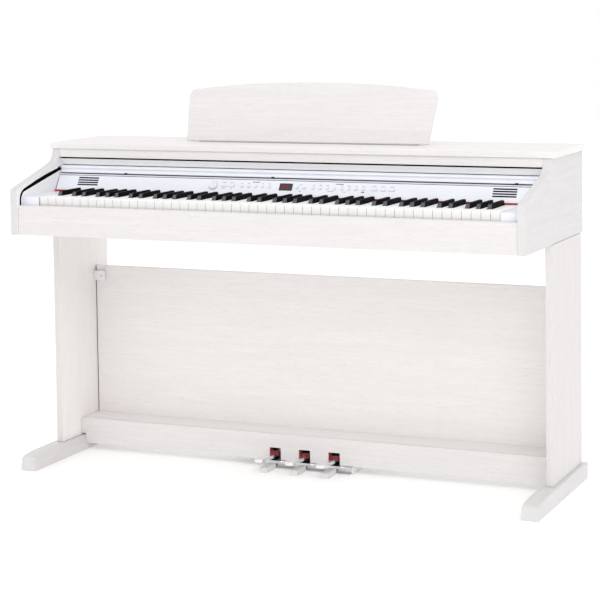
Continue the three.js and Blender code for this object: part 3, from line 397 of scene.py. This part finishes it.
def rounded(bm, width, segments=2, angle=30, edges=None):
    """Rounds the edges that turn by more than angle degrees."""
    chosen = edges or [e for e in bm.edges if len(e.link_faces) == 2 and e.calc_face_angle() > radians(angle)]
    settings = {"affect": "EDGES", "offset_type": "OFFSET", "profile": 0.5, "material": -1}
    bmesh.ops.bevel(bm, geom=chosen, offset=width, segments=segments, clamp_overlap=True, **settings)
    return bm


def merged_copy(node_name):
    """A CAD node's mesh as a clean bmesh: welded, with its flat faces joined up."""
    bm = bmesh.new()
    bm.from_mesh(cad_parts[node_name].data)
    bmesh.ops.remove_doubles(bm, verts=bm.verts, dist=0.002 * MM)
    bmesh.ops.dissolve_limit(bm, angle_limit=radians(1), verts=bm.verts, edges=bm.edges)
    return bm


def softened(node_name, width_mm, materials, slot, body="cabinet", segments=2, choose=None, smooth=50):
    """Stands for a CAD node with its arrises rounded. choose gives a face's material number."""
    bm = merged_copy(node_name)
    if choose:
        for face in bm.faces:
            face.material_index = choose(face)
    rounded(bm, width_mm * MM, segments)
    piece = make_piece(node_name + "_finished", bm, materials, body, smooth)
    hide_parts(node_name)
    return even_normals(piece)


def cube(bm, low, high, bevel_mm=0.0):
    """Adds a box between two corners, with rounded edges if bevel_mm is given."""
    low, high = Vector(low), Vector(high)
    place = Matrix.Translation((low + high) / 2) @ Matrix.Diagonal((*(high - low), 1))
    verts = bmesh.ops.create_cube(bm, size=1.0, matrix=place)["verts"]
    if bevel_mm:
        edges = list({e for v in verts for e in v.link_edges})
        rounded(bm, bevel_mm * MM, 2, edges=edges)


def mirrored_boxes(bm, inner, outer, bevel_mm=0.0):
    """Adds a box on each side of the middle, between two corners given as x, depth and height in mm."""
    for side in (-1, 1):
        x0, x1 = sorted((side * inner[0], side * outer[0]))
        cube(bm, at(x0, *inner[1:]), at(x1, *outer[1:]), bevel_mm)


def spun(bm, profile, steps, place=None):
    """Adds a closed body of revolution about z from a profile of radius and height in mm, low end first."""
    verts = [bm.verts.new(Vector((r, 0, z)) * MM) for r, z in profile]
    edges = [bm.edges.new(pair) for pair in zip(verts, verts[1:])]
    turn = {"cent": (0, 0, 0), "axis": (0, 0, 1), "angle": 2 * pi, "steps": steps, "use_merge": True}
    bmesh.ops.spin(bm, geom=verts + edges, **turn)
    bmesh.ops.remove_doubles(bm, verts=bm.verts, dist=0.001 * MM)
    new = [v for v in bm.verts if not v.tag]
    faces = list({f for v in new for f in v.link_faces})
    bmesh.ops.recalc_face_normals(bm, faces=faces)
    if place is not None:
        bmesh.ops.transform(bm, matrix=place, verts=new)
    for v in bm.verts:
        v.tag = True


def aimed(point, direction):
    """A placement that puts z along a direction, at a point."""
    return Matrix.Translation(point) @ Vector(direction).to_track_quat("Z", "Y").to_matrix().to_4x4()


# ---------------------------------------------------------------- camera, light and floor


def camera():
    """Stands to the player's right, a little above the lid."""
    data = bpy.data.cameras.new("camera")
    data.sensor_width = 36.0
    data.lens = 111.99
    data.shift_x = -0.0114
    data.shift_y = -0.2844
    data.clip_end = 60.0
    eye = bpy.data.objects.new("camera", data)
    eye.location = (1.90081, -4.2723, 1.18119)
    turn = Matrix.Rotation(radians(23.54), 4, "Z")
    tip = Matrix.Rotation(radians(90 - 3.67), 4, "X")
    roll = Matrix.Rotation(radians(-0.76), 4, "Z")
    eye.rotation_euler = (turn @ tip @ roll).to_euler()
    bpy.context.scene.collection.objects.link(eye)
    bpy.context.scene.camera = eye


def soft_box(name, place, aim, size, watts):
    """A rectangular area light that points from its place to its aim."""
    light = bpy.data.lights.new(name, "AREA")
    light.shape = "RECTANGLE"
    light.size, light.size_y = size
    light.energy = watts
    lamp = bpy.data.objects.new(name, light)
    lamp.matrix_world = aimed(Vector(place), Vector(place) - Vector(aim))
    bpy.context.scene.collection.objects.link(lamp)


def studio():
    """A white room and one broad, soft key light on the player's right."""
    world = bpy.data.worlds.new("studio")
    bpy.context.scene.world = world
    world.use_nodes = True
    world.node_tree.nodes["Background"].inputs["Color"].default_value = linear("#FFFFFF")
    world.node_tree.nodes["Background"].inputs["Strength"].default_value = 1.0
    soft_box("key_light", (2.4, -3.2, 3.2), (0.2, 0, 0.5), (2.4, 2.4), 42)
    bm = bmesh.new()
    bmesh.ops.create_grid(bm, x_segments=2, y_segments=2, size=14.0)
    mesh = bpy.data.meshes.new("floor")
    bm.to_mesh(mesh)
    bm.free()
    floor = bpy.data.objects.new("floor", mesh)
    mesh.materials.append(lit_floor())
    bpy.context.scene.collection.objects.link(floor)
    bpy.context.scene.view_settings.view_transform = "Standard"


# ---------------------------------------------------------------- cabinet

PANEL_FACE = 660.05  # mm; a side panel's inner face is just inside this x
GROOVE_FLOOR = 666.1  # mm; the guide groove's floor is just inside this x
FASCIA_FRONT = 212.2  # mm; anything deeper is behind the fascia's front face
SLOT_SILL, SLOT_HEAD = 798.2, 802.5  # mm; the fascia's slot lies between these heights
CABINET_PARTS = {
    "rear_panel": HARDBOARD,
    "keybed": HARDBOARD,
    "jack_panel": BLACK_ABS,
    "key_frame": ZINC,
    "felt_strip": FELT,
    "circuit_board": MASK,
    "rest_hinge": ZINC,
    "left_speaker": BLACK_ABS,
    "right_speaker": BLACK_ABS,
    "pedal_felt": PEDAL_FELT,
    "cover_carriage": ZINC,
}


def grooved(face):
    """A side panel's guide groove takes the matt black of painted shade, and its inner face the lighter foil
    copy as painted light.
    """
    xs = [abs(v.co.x) for v in face.verts]
    if PANEL_FACE * MM < sum(xs) / len(xs) < GROOVE_FLOOR * MM and max(xs) < GROOVE_FLOOR * MM:
        return 1
    return 2 if max(xs) < PANEL_FACE * MM else 0


def slotted(face):
    """Faces inside the fascia's slot take the matt black of painted shade, and the strip below it is glossy
    and painted lighter, as painted light.
    """
    centre = face.calc_center_median()
    if SLOT_SILL * MM < centre.z < SLOT_HEAD * MM and centre.y > (FASCIA_FRONT - DEPTH_ORIGIN) * MM:
        return 1
    return 2 if centre.z < (SLOT_SILL + 0.1) * MM else 0


def cabinet():
    """Boards with rounded arrises, and the parts that keep their CAD shape and only take a finish."""
    for side in ("left", "right"):
        softened(side + "_side_panel", 1.2, [SHADED_ASH_Y, SHADE_BLACK, LIT_ASH_Y], "white_foil", choose=grooved)
        softened(side + "_cheek_block", 0.8, PEARL, "white_foil")
    softened("top_lid", 1.0, LIT_ASH_X, "white_foil")
    softened("front_fascia", 0.4, [LIT_ASH_X, SHADE_BLACK, LIT_STRIP], "white_foil", choose=slotted)
    softened("key_slip", 0.8, SHADED_ASH_X, "white_foil")
    for name, material in CABINET_PARTS.items():
        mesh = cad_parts[name].data
        mesh.materials.clear()
        mesh.materials.append(material)


def rear_screws():
    """Pan-head screws round the hardboard back."""
    bm = bmesh.new()
    top, bottom, back, last, pitch = 812, 647, 482, 620, 155
    places = [(x, z) for x in range(-last, last + 1, pitch) for z in (bottom, top)]
    head = [(0, 2.2), (2.2, 2.1), (3.6, 1.4), (4.0, 0.4), (4.0, 0.0), (0, 0)]
    for x, z in places:
        spun(bm, head[::-1], 16, aimed(at(x, back, z), (0, 1, 0)))
    make_piece("rear_panel_screws", bm, ZINC, "cabinet")


def socket_rings():
    """Plated rings round the three sockets, and the pin of the power inlet."""
    bm = bmesh.new()
    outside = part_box("jack_panel")[1].y
    row, power_inlet = 680, 325
    ring = [(3.2, 0), (5.4, 0), (5.4, 0.8), (4.8, 1.4), (3.8, 1.4), (3.2, 0.8), (3.2, 0)]
    for x in (power_inlet, 360, 390):
        spun(bm, ring, 24, aimed(Vector((x * MM, outside, row * MM)), (0, 1, 0)))
    pin = [(0, -9), (0.9, -9), (0.9, -1.2), (0.5, -0.6), (0, -0.6)]
    spun(bm, pin, 12, aimed(Vector((power_inlet * MM, outside, row * MM)), (0, 1, 0)))
    make_piece("socket_rings", bm, CHROME, "cabinet")


def speaker_grilles():
    """Round guards in the keybed's holes: rings on crossed bars."""
    for side, name in ((-1, "left_speaker_grille"), (1, "right_speaker_grille")):
        bm = bmesh.new()
        place = Matrix.Translation(at(side * 480, 350, 621))
        rings = [(radius, radius + 2.4, 0, 2.4) for radius in (9, 17, 25, 33, 41)]
        for r0, r1, z0, z1 in [*rings, (46, 49.6, -1, 3)]:
            spun(bm, [(r0, z0), (r1, z0), (r1, z1), (r0, z1), (r0, z0)], 36, place)
        for turn in range(4):
            spoke = bmesh.new()
            cube(spoke, (-46.5 * MM, -1.2 * MM, 0.2 * MM), (46.5 * MM, 1.2 * MM, 2.2 * MM), 0.4)
            turned = place @ Matrix.Rotation(turn * pi / 4, 4, "Z")
            bmesh.ops.transform(spoke, matrix=turned, verts=spoke.verts)
            spare = bpy.data.meshes.new("spoke")
            spoke.to_mesh(spare)
            spoke.free()
            bm.from_mesh(spare)
            bpy.data.meshes.remove(spare)
        make_piece(name, bm, BLACK_ABS, "cabinet")


# ---------------------------------------------------------------- keyboard


NOTES = ["c", "c_sharp", "d", "d_sharp", "e", "f", "f_sharp", "g", "g_sharp", "a", "a_sharp", "b"]


def key_top(face):
    """Faces that look up."""
    return 1 if face.normal.z > 0.7 else 0


def key_front(face):
    """Faces that look at the player."""
    return 1 if face.normal.y < -0.5 else 0


WHITE = {"materials": [WHITE_KEY, LIT_KEY_TOP], "slot": "white_key", "choose": key_top}
BLACK = {"materials": [BLACK_KEY, SHEENED_BLACK_FRONT], "slot": "black_key", "choose": key_front}


def keyboard():
    """The middle octave's keys, each on its own body, and the fixed keys on both sides of them."""
    for note in NOTES:
        name = "key_" + note
        if "sharp" in note:
            softened(name, 0.7, **BLACK, body=name)
        else:
            softened(name, 0.4, **WHITE, body=name)
    for part in ("bass", "treble"):
        softened(part + "_white_keys", 0.4, **WHITE)
        softened(part + "_black_keys", 0.7, **BLACK)


def key_end_shade_strips():
    """Black strips in the gaps between the outermost keys and the cheek blocks: painted shade in the gaps."""
    bm = bmesh.new()
    mirrored_boxes(bm, (611.1, 31.4, 694), (612.0, 60, 713.4))
    make_piece("key_end_shade_strips", bm, SHADE_BLACK, "cabinet")


# ---------------------------------------------------------------- control panel

PANEL_PLACE = Matrix.Translation(at(0, 189, 718.5)) @ Matrix.Rotation(radians(60), 4, "X")
BUTTON_ROW = 24.5
KEYPAD_PITCH = 19
WIDE_BUTTONS = {"intro": -173, "rhythm": -151, "song": 235, "record": 258, "split": 281}
ROUND_BUTTONS = {"value_down": 29, "value_up": 48}
KEYPADS = {"left": (-123, 5), "right": (73, 8)}  # the first button's x, and how many there are
ROW_ABOVE, ROW_BELOW = 35.0, 15.0
KNOB_PLACE = PANEL_PLACE @ Matrix.Translation(Vector((-203, BUTTON_ROW, 0)) * MM)
DISPLAY_PLACE = PANEL_PLACE @ Matrix.Translation(Vector((-1.5, 25, 0)) * MM)
SOUND_SLOT_MIDDLE, SOUND_SLOT_LENGTH = 568, 60
SOUND_SLOT_ROWS = (16, 22.5, 29, 35.5)


def panel_box(bm, x, row, width, height, low=0.0, high=0.12, bevel_mm=0.0):
    """A box on the panel: middle, size along and up the slope, and its lowest and highest level."""
    corners = [(x - width / 2, row - height / 2, low), (x + width / 2, row + height / 2, high)]
    cube(bm, *[Vector(c) * MM for c in corners], bevel_mm)


def printed_marks():
    """Short plain dashes over and under the buttons, where their names would be."""
    (left, left_count), (right, right_count) = KEYPADS.values()
    pale = [(x, ROW_ABOVE - 2.5, 11) for x in WIDE_BUTTONS.values()]
    pale += [(left + KEYPAD_PITCH * i, ROW_ABOVE - 3, 7) for i in range(left_count) if i != 2]
    pale += [(right + KEYPAD_PITCH * i, ROW_ABOVE - 3, 6 + i % 3) for i in range(right_count) if i != 3]
    pale += [(38.5, ROW_ABOVE - 3, 8), (38.5, ROW_BELOW, 9), (-151, ROW_BELOW + 1, 4)]
    pale += [(-173, ROW_BELOW + 2, 8), (121, ROW_BELOW + 1, 16), (157, ROW_BELOW + 1, 9)]
    dark = [(-85, ROW_ABOVE + 1, 20), (142, ROW_ABOVE + 1.5, 21)]
    bm = bmesh.new()
    for x, row, length in pale:
        panel_box(bm, x, row, length, 1.3)
    bmesh.ops.transform(bm, matrix=PANEL_PLACE, verts=bm.verts)
    make_piece("pale_panel_marks", bm, PALE_INK, "cabinet")
    bm = bmesh.new()
    for x, row, length in dark:
        panel_box(bm, x, row, length, 1.8)
    panel_box(bm, 206, 16.5, 8, 2.6)
    bmesh.ops.transform(bm, matrix=PANEL_PLACE, verts=bm.verts)
    make_piece("dark_panel_marks", bm, DARK_INK, "cabinet")


def display_digits():
    """Two seven-segment figures just over the window, leaning as such figures do."""
    bm = bmesh.new()
    height, width, bar = 10.0, 6.4, 1.6
    low, high, lean = 0.32, 0.42, 0.12
    for middle in (-7.4, 4.4):
        for level in (-1, 0, 1):
            panel_box(bm, middle, level * height / 2, width - bar, bar, low, high)
        for side in (-1, 1):
            for level in (-1, 1):
                x, row = middle + side * width / 2, level * height / 4
                panel_box(bm, x, row, bar, height / 2 - bar, low, high)
    for v in bm.verts:
        v.co.x += lean * v.co.y
    bmesh.ops.transform(bm, matrix=DISPLAY_PLACE, verts=bm.verts)
    make_piece("display_digits", bm, LIT, "cabinet")
    softened("display_window", 0.3, WINDOW, "window", segments=1)


def volume_knob():
    """A turned knob: a ribbed skirt, a rounded shoulder, a shallow dish on top and a pointer line."""
    bm = bmesh.new()
    radius = 11.5
    profile = [
        (0, -10), (3, -10), (3, 0.6), (radius - 0.4, 0.6), (radius, 0.9), (radius, 1.5), (radius - 0.6, 1.9),
        (radius - 0.7, 3.8), (radius - 1.1, 4.5), (radius - 2, 4.9), (radius - 3, 4.8), (4, 4.3), (0, 4.2),
    ]
    columns, rib_depth = 72, 0.97
    spun(bm, profile, columns)
    for v in bm.verts:
        flat = Vector((v.co.x, v.co.y))
        if 1.8 * MM < v.co.z < 3.9 * MM and flat.length > (radius - 2) * MM:
            column = round(flat.angle_signed(Vector((1, 0))) / (2 * pi / columns))
            if column % 2:
                v.co.x *= rib_depth
                v.co.y *= rib_depth
    bmesh.ops.transform(bm, matrix=KNOB_PLACE, verts=bm.verts)
    knob = make_piece("volume_knob_finished", bm, BUTTON, "volume_knob", 40)
    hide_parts("volume_knob")
    bm = bmesh.new()
    cube(bm, Vector((-0.4, 6.0, 4.3)) * MM, Vector((0.4, 8.4, 4.9)) * MM, 0.1)
    bmesh.ops.transform(bm, matrix=KNOB_PLACE, verts=bm.verts)
    make_piece("volume_pointer", bm, PALE_INK, "volume_knob")
    bm = bmesh.new()
    ring = [(11.9, 0), (13.2, 0), (13.2, 0.3), (12.9, 0.6), (12.2, 0.6), (11.9, 0.3), (11.9, 0)]
    spun(bm, ring, 64)
    bmesh.ops.transform(bm, matrix=KNOB_PLACE, verts=bm.verts)
    make_piece("volume_ring", bm, CHROME, "cabinet")


def slot_edge_shade():
    """A thin black lip round each sound slot, along its long edges: painted shade at the slot edges."""
    for side, name in ((-1, "left_slot_rims"), (1, "right_slot_rims")):
        bm = bmesh.new()
        for row in SOUND_SLOT_ROWS:
            for edge in (row - 1.75, row + 1.75):
                panel_box(bm, side * SOUND_SLOT_MIDDLE, edge, SOUND_SLOT_LENGTH, 0.35, -1.0, 0.1)
        bmesh.ops.transform(bm, matrix=PANEL_PLACE, verts=bm.verts)
        make_piece(name, bm, SHADE_BLACK, "cabinet")


def slot_cloth():
    """Cloth behind each group of sound slots, bowed a little into them."""
    for side, name in ((-1, "left_slot_cloth"), (1, "right_slot_cloth")):
        bm = bmesh.new()
        bmesh.ops.create_grid(bm, x_segments=16, y_segments=8, size=0.5)
        for v in bm.verts:
            bow = (1 - (2 * v.co.x) ** 2) * (1 - (2 * v.co.y) ** 2)
            v.co = Vector((v.co.x * (SOUND_SLOT_LENGTH + 10), v.co.y * 28, bow * 0.5)) * MM
        bmesh.ops.solidify(bm, geom=bm.faces, thickness=0.6 * MM)
        place = PANEL_PLACE @ Matrix.Translation(Vector((side * SOUND_SLOT_MIDDLE, 25.7, -5.4)) * MM)
        bmesh.ops.transform(bm, matrix=place, verts=bm.verts)
        bmesh.ops.recalc_face_normals(bm, faces=bm.faces)
        make_piece(name, bm, CLOTH, "cabinet")


def panel_shade_strips():
    """Black strips of painted shadow: one in the step where the sloping plate meets its ledge, and one at
    each of its ends.
    """
    bm = bmesh.new()
    cube(bm, at(-659.5, 211.45, 754.55), at(659.5, 211.75, 755.7), 0.1)
    make_piece("panel_ledge_shade_strip", bm, SHADE_BLACK, "cabinet")
    bm = bmesh.new()
    for side in (-1, 1):
        panel_box(bm, side * 659.0, 20.5, 1.2, 40, 0.0, 0.2)
    bmesh.ops.transform(bm, matrix=PANEL_PLACE, verts=bm.verts)
    make_piece("panel_end_shade_strips", bm, SHADE_BLACK, "cabinet")


def in_sound_slot(face):
    """The walls of the sound slots take the matt black of painted shade."""
    centre = PANEL_PLACE.inverted() @ face.calc_center_median()
    across, up, out = (c / MM for c in centre)
    along = abs(abs(across) - SOUND_SLOT_MIDDLE) < SOUND_SLOT_LENGTH / 2 + 1
    inside = along and SOUND_SLOT_ROWS[0] - 2 < up < SOUND_SLOT_ROWS[-1] + 2 and -4 < out < -0.05
    largest = 300  # mm2; the panel's own faces behind the slots are larger than this
    return 1 if inside and face.calc_area() < largest * MM * MM else 0


def control_panel():
    """The leaning plate with its buttons, and what is printed and fitted on it."""
    softened("control_panel", 0.2, [PEARL, SHADE_BLACK], "pale_plastic", segments=1, choose=in_sound_slot)
    for word in [*WIDE_BUTTONS, *ROUND_BUTTONS]:
        name = word + "_button"
        softened(name, 0.5, BUTTON, "pale_plastic", body=name)
    for word in KEYPADS:
        softened(word + "_keypad", 0.5, BUTTON, "pale_plastic")
    printed_marks()
    display_digits()
    volume_knob()
    slot_edge_shade()
    slot_cloth()
    panel_shade_strips()


# ---------------------------------------------------------------- key cover and music rest


def key_cover():
    """The lacquered cover, with three small bumpers under its front edge."""
    softened("key_cover", 0.7, PEARL, "pale_plastic", body="key_cover", segments=3)
    bm = bmesh.new()
    for x in (-462, -42, 594):
        cube(bm, at(x - 4, 211.9, 759.4), at(x + 4, 214.6, 763.6), 0.6)
    make_piece("cover_bumpers", bm, BUMPER, "key_cover")


def music_rest():
    """One foiled board with generously rounded edges."""
    softened("music_rest", 1.2, SHADED_ASH_X, "white_foil", body="music_rest", segments=3)


# ---------------------------------------------------------------- stand

LEG_FACE = 664.6  # mm; a leg's inner face is just inside this x
HOUSING_MIDDLE, HOUSING_HALF = 7.5, 119  # mm; the pedal housing's middle, and its half width less an end cap
HOUSING_FLOOR, HOUSING_WALL = 18.8, 319  # mm; its wall is above this height and deeper than this


def inner_side(face):
    """The face of a leg that looks at the other leg takes the lighter foil copy: painted light on a face that
    sits in shade.
    """
    return 1 if max(abs(v.co.x) for v in face.verts) < LEG_FACE * MM else 0


def felt_sleeve(name):
    """A felt saddle on a pedal's arm where it passes through the rail: a thick top and two cheeks."""
    low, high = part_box(name)
    middle = (low.x + high.x) / 2 / MM
    arm, cheek = 7.5, 2.3  # half the arm's width, and the felt on each side of it
    under, top, pad = 29.6, 37.6, 2.4
    front, run, fit = 303.5, 18, 0.05
    half, bore = arm + cheek, arm + fit
    section = [(-half, under), (-half, top + pad), (half, top + pad), (half, under)]
    section += [(bore, under), (bore, top), (-bore, top), (-bore, under)]
    bm = bmesh.new()
    ring = [bm.verts.new(at(middle + x, front, z)) for x, z in section]
    grown = bmesh.ops.extrude_face_region(bm, geom=[bm.faces.new(ring)])["geom"]
    pulled = [v for v in grown if isinstance(v, bmesh.types.BMVert)]
    bmesh.ops.translate(bm, vec=(0, run * MM, 0), verts=pulled)
    bmesh.ops.recalc_face_normals(bm, faces=bm.faces)
    rounded(bm, 0.4 * MM, 2)
    make_piece(name + "_felt", bm, PEDAL_FELT, name)


def housing_part(face):
    """The pedal housing has a black wall behind the rail and white end caps."""
    centre = face.calc_center_median()
    if abs(face.normal.x) > 0.9 and abs(centre.x - HOUSING_MIDDLE * MM) > HOUSING_HALF * MM:
        return 2
    return 1 if centre.z > HOUSING_FLOOR * MM and centre.y > (HOUSING_WALL - DEPTH_ORIGIN) * MM else 0


def stand():
    """Legs, feet and boards in foil, and the pedal unit with its three pedals."""
    for side in ("left", "right"):
        softened(side + "_leg", 1.0, [SHADED_ASH_Z, LIT_ASH_Z], "white_foil", choose=inner_side)
        softened(side + "_foot", 1.5, SHADED_ASH_Y, "white_foil")
    softened("rail_front_board", 0.8, SHADED_ASH_X, "white_foil")
    softened("rail_top_board", 0.8, LIT_ASH_X, "white_foil")
    softened("backboard", 0.8, LIT_ASH_X, "white_foil")
    softened("pedal_box", 0.8, [STAINLESS, BLACK_ABS, NYLON], "steel", choose=housing_part)
    softened("pedal_stops", 1.6, RUBBER, "pale_rubber", segments=3)
    for name in ("soft_pedal", "sostenuto_pedal", "damper_pedal"):
        softened(name, 2.4, CHROME, "chrome", body=name, segments=3, smooth=60)
        felt_sleeve(name)


def backboard_shade_strips():
    """Black strips in the gaps between the backboard's ends and the legs: painted shade in the gaps."""
    bm = bmesh.new()
    mirrored_boxes(bm, (662.2, 399, 73), (664.4, 407, 489), 0.3)
    make_piece("backboard_shade_strips", bm, SHADE_BLACK, "cabinet")


def pedal_shade_plate():
    """A matt black plate behind the bass end of the pedal openings, which keeps light out of them: painted
    shade.
    """
    bm = bmesh.new()
    cube(bm, at(-190, 388, 20), at(-114, 390, 71), 0.3)
    make_piece("pedal_shade_plate", bm, SHADE_BLACK, "cabinet")


def corner_brackets():
    """Nylon blocks that hold the backboard to the legs, each with a screw."""
    screw = [(0, 1.2), (1.6, 1.1), (2.4, 0.5), (2.6, 0), (0, 0)]
    for side, name in ((-1, "left_backboard_bracket"), (1, "right_backboard_bracket")):
        bm = bmesh.new()
        x0, x1 = sorted((side * 664.0, side * 632.0))
        cube(bm, at(x0, 386, 450), at(x1, 396.8, 477), 1.6)
        make_piece(name, bm, NYLON, "cabinet")
        bm = bmesh.new()
        spun(bm, screw[::-1], 20, aimed(at(side * 641, 386, 463), (0, -1, 0)))
        make_piece(name + "_screw", bm, ZINC, "cabinet")


def fastener_caps():
    """Round caps over the fasteners on the rail's top board and on the legs' inner faces."""
    cap = [(0, 0), (4.8, 0), (5.0, 0.5), (4.3, 1.1), (1.6, 1.3), (0, 1.3)]
    bm = bmesh.new()
    for side in (-1, 1):
        for x, depth in ((639, 325), (642, 362)):
            spun(bm, cap, 20, aimed(at(side * x, depth, 87.3), (0, 0, 1)))
        spun(bm, cap, 20, aimed(at(side * 664.5, 233, 62), (-side, 0, 0)))
    make_piece("fastener_caps", bm, NYLON, "cabinet")


camera()
studio()
cabinet()
rear_screws()
socket_rings()
speaker_grilles()
keyboard()
key_end_shade_strips()
control_panel()
key_cover()
music_rest()
stand()
backboard_shade_strips()
pedal_shade_plate()
corner_brackets()
fastener_caps()
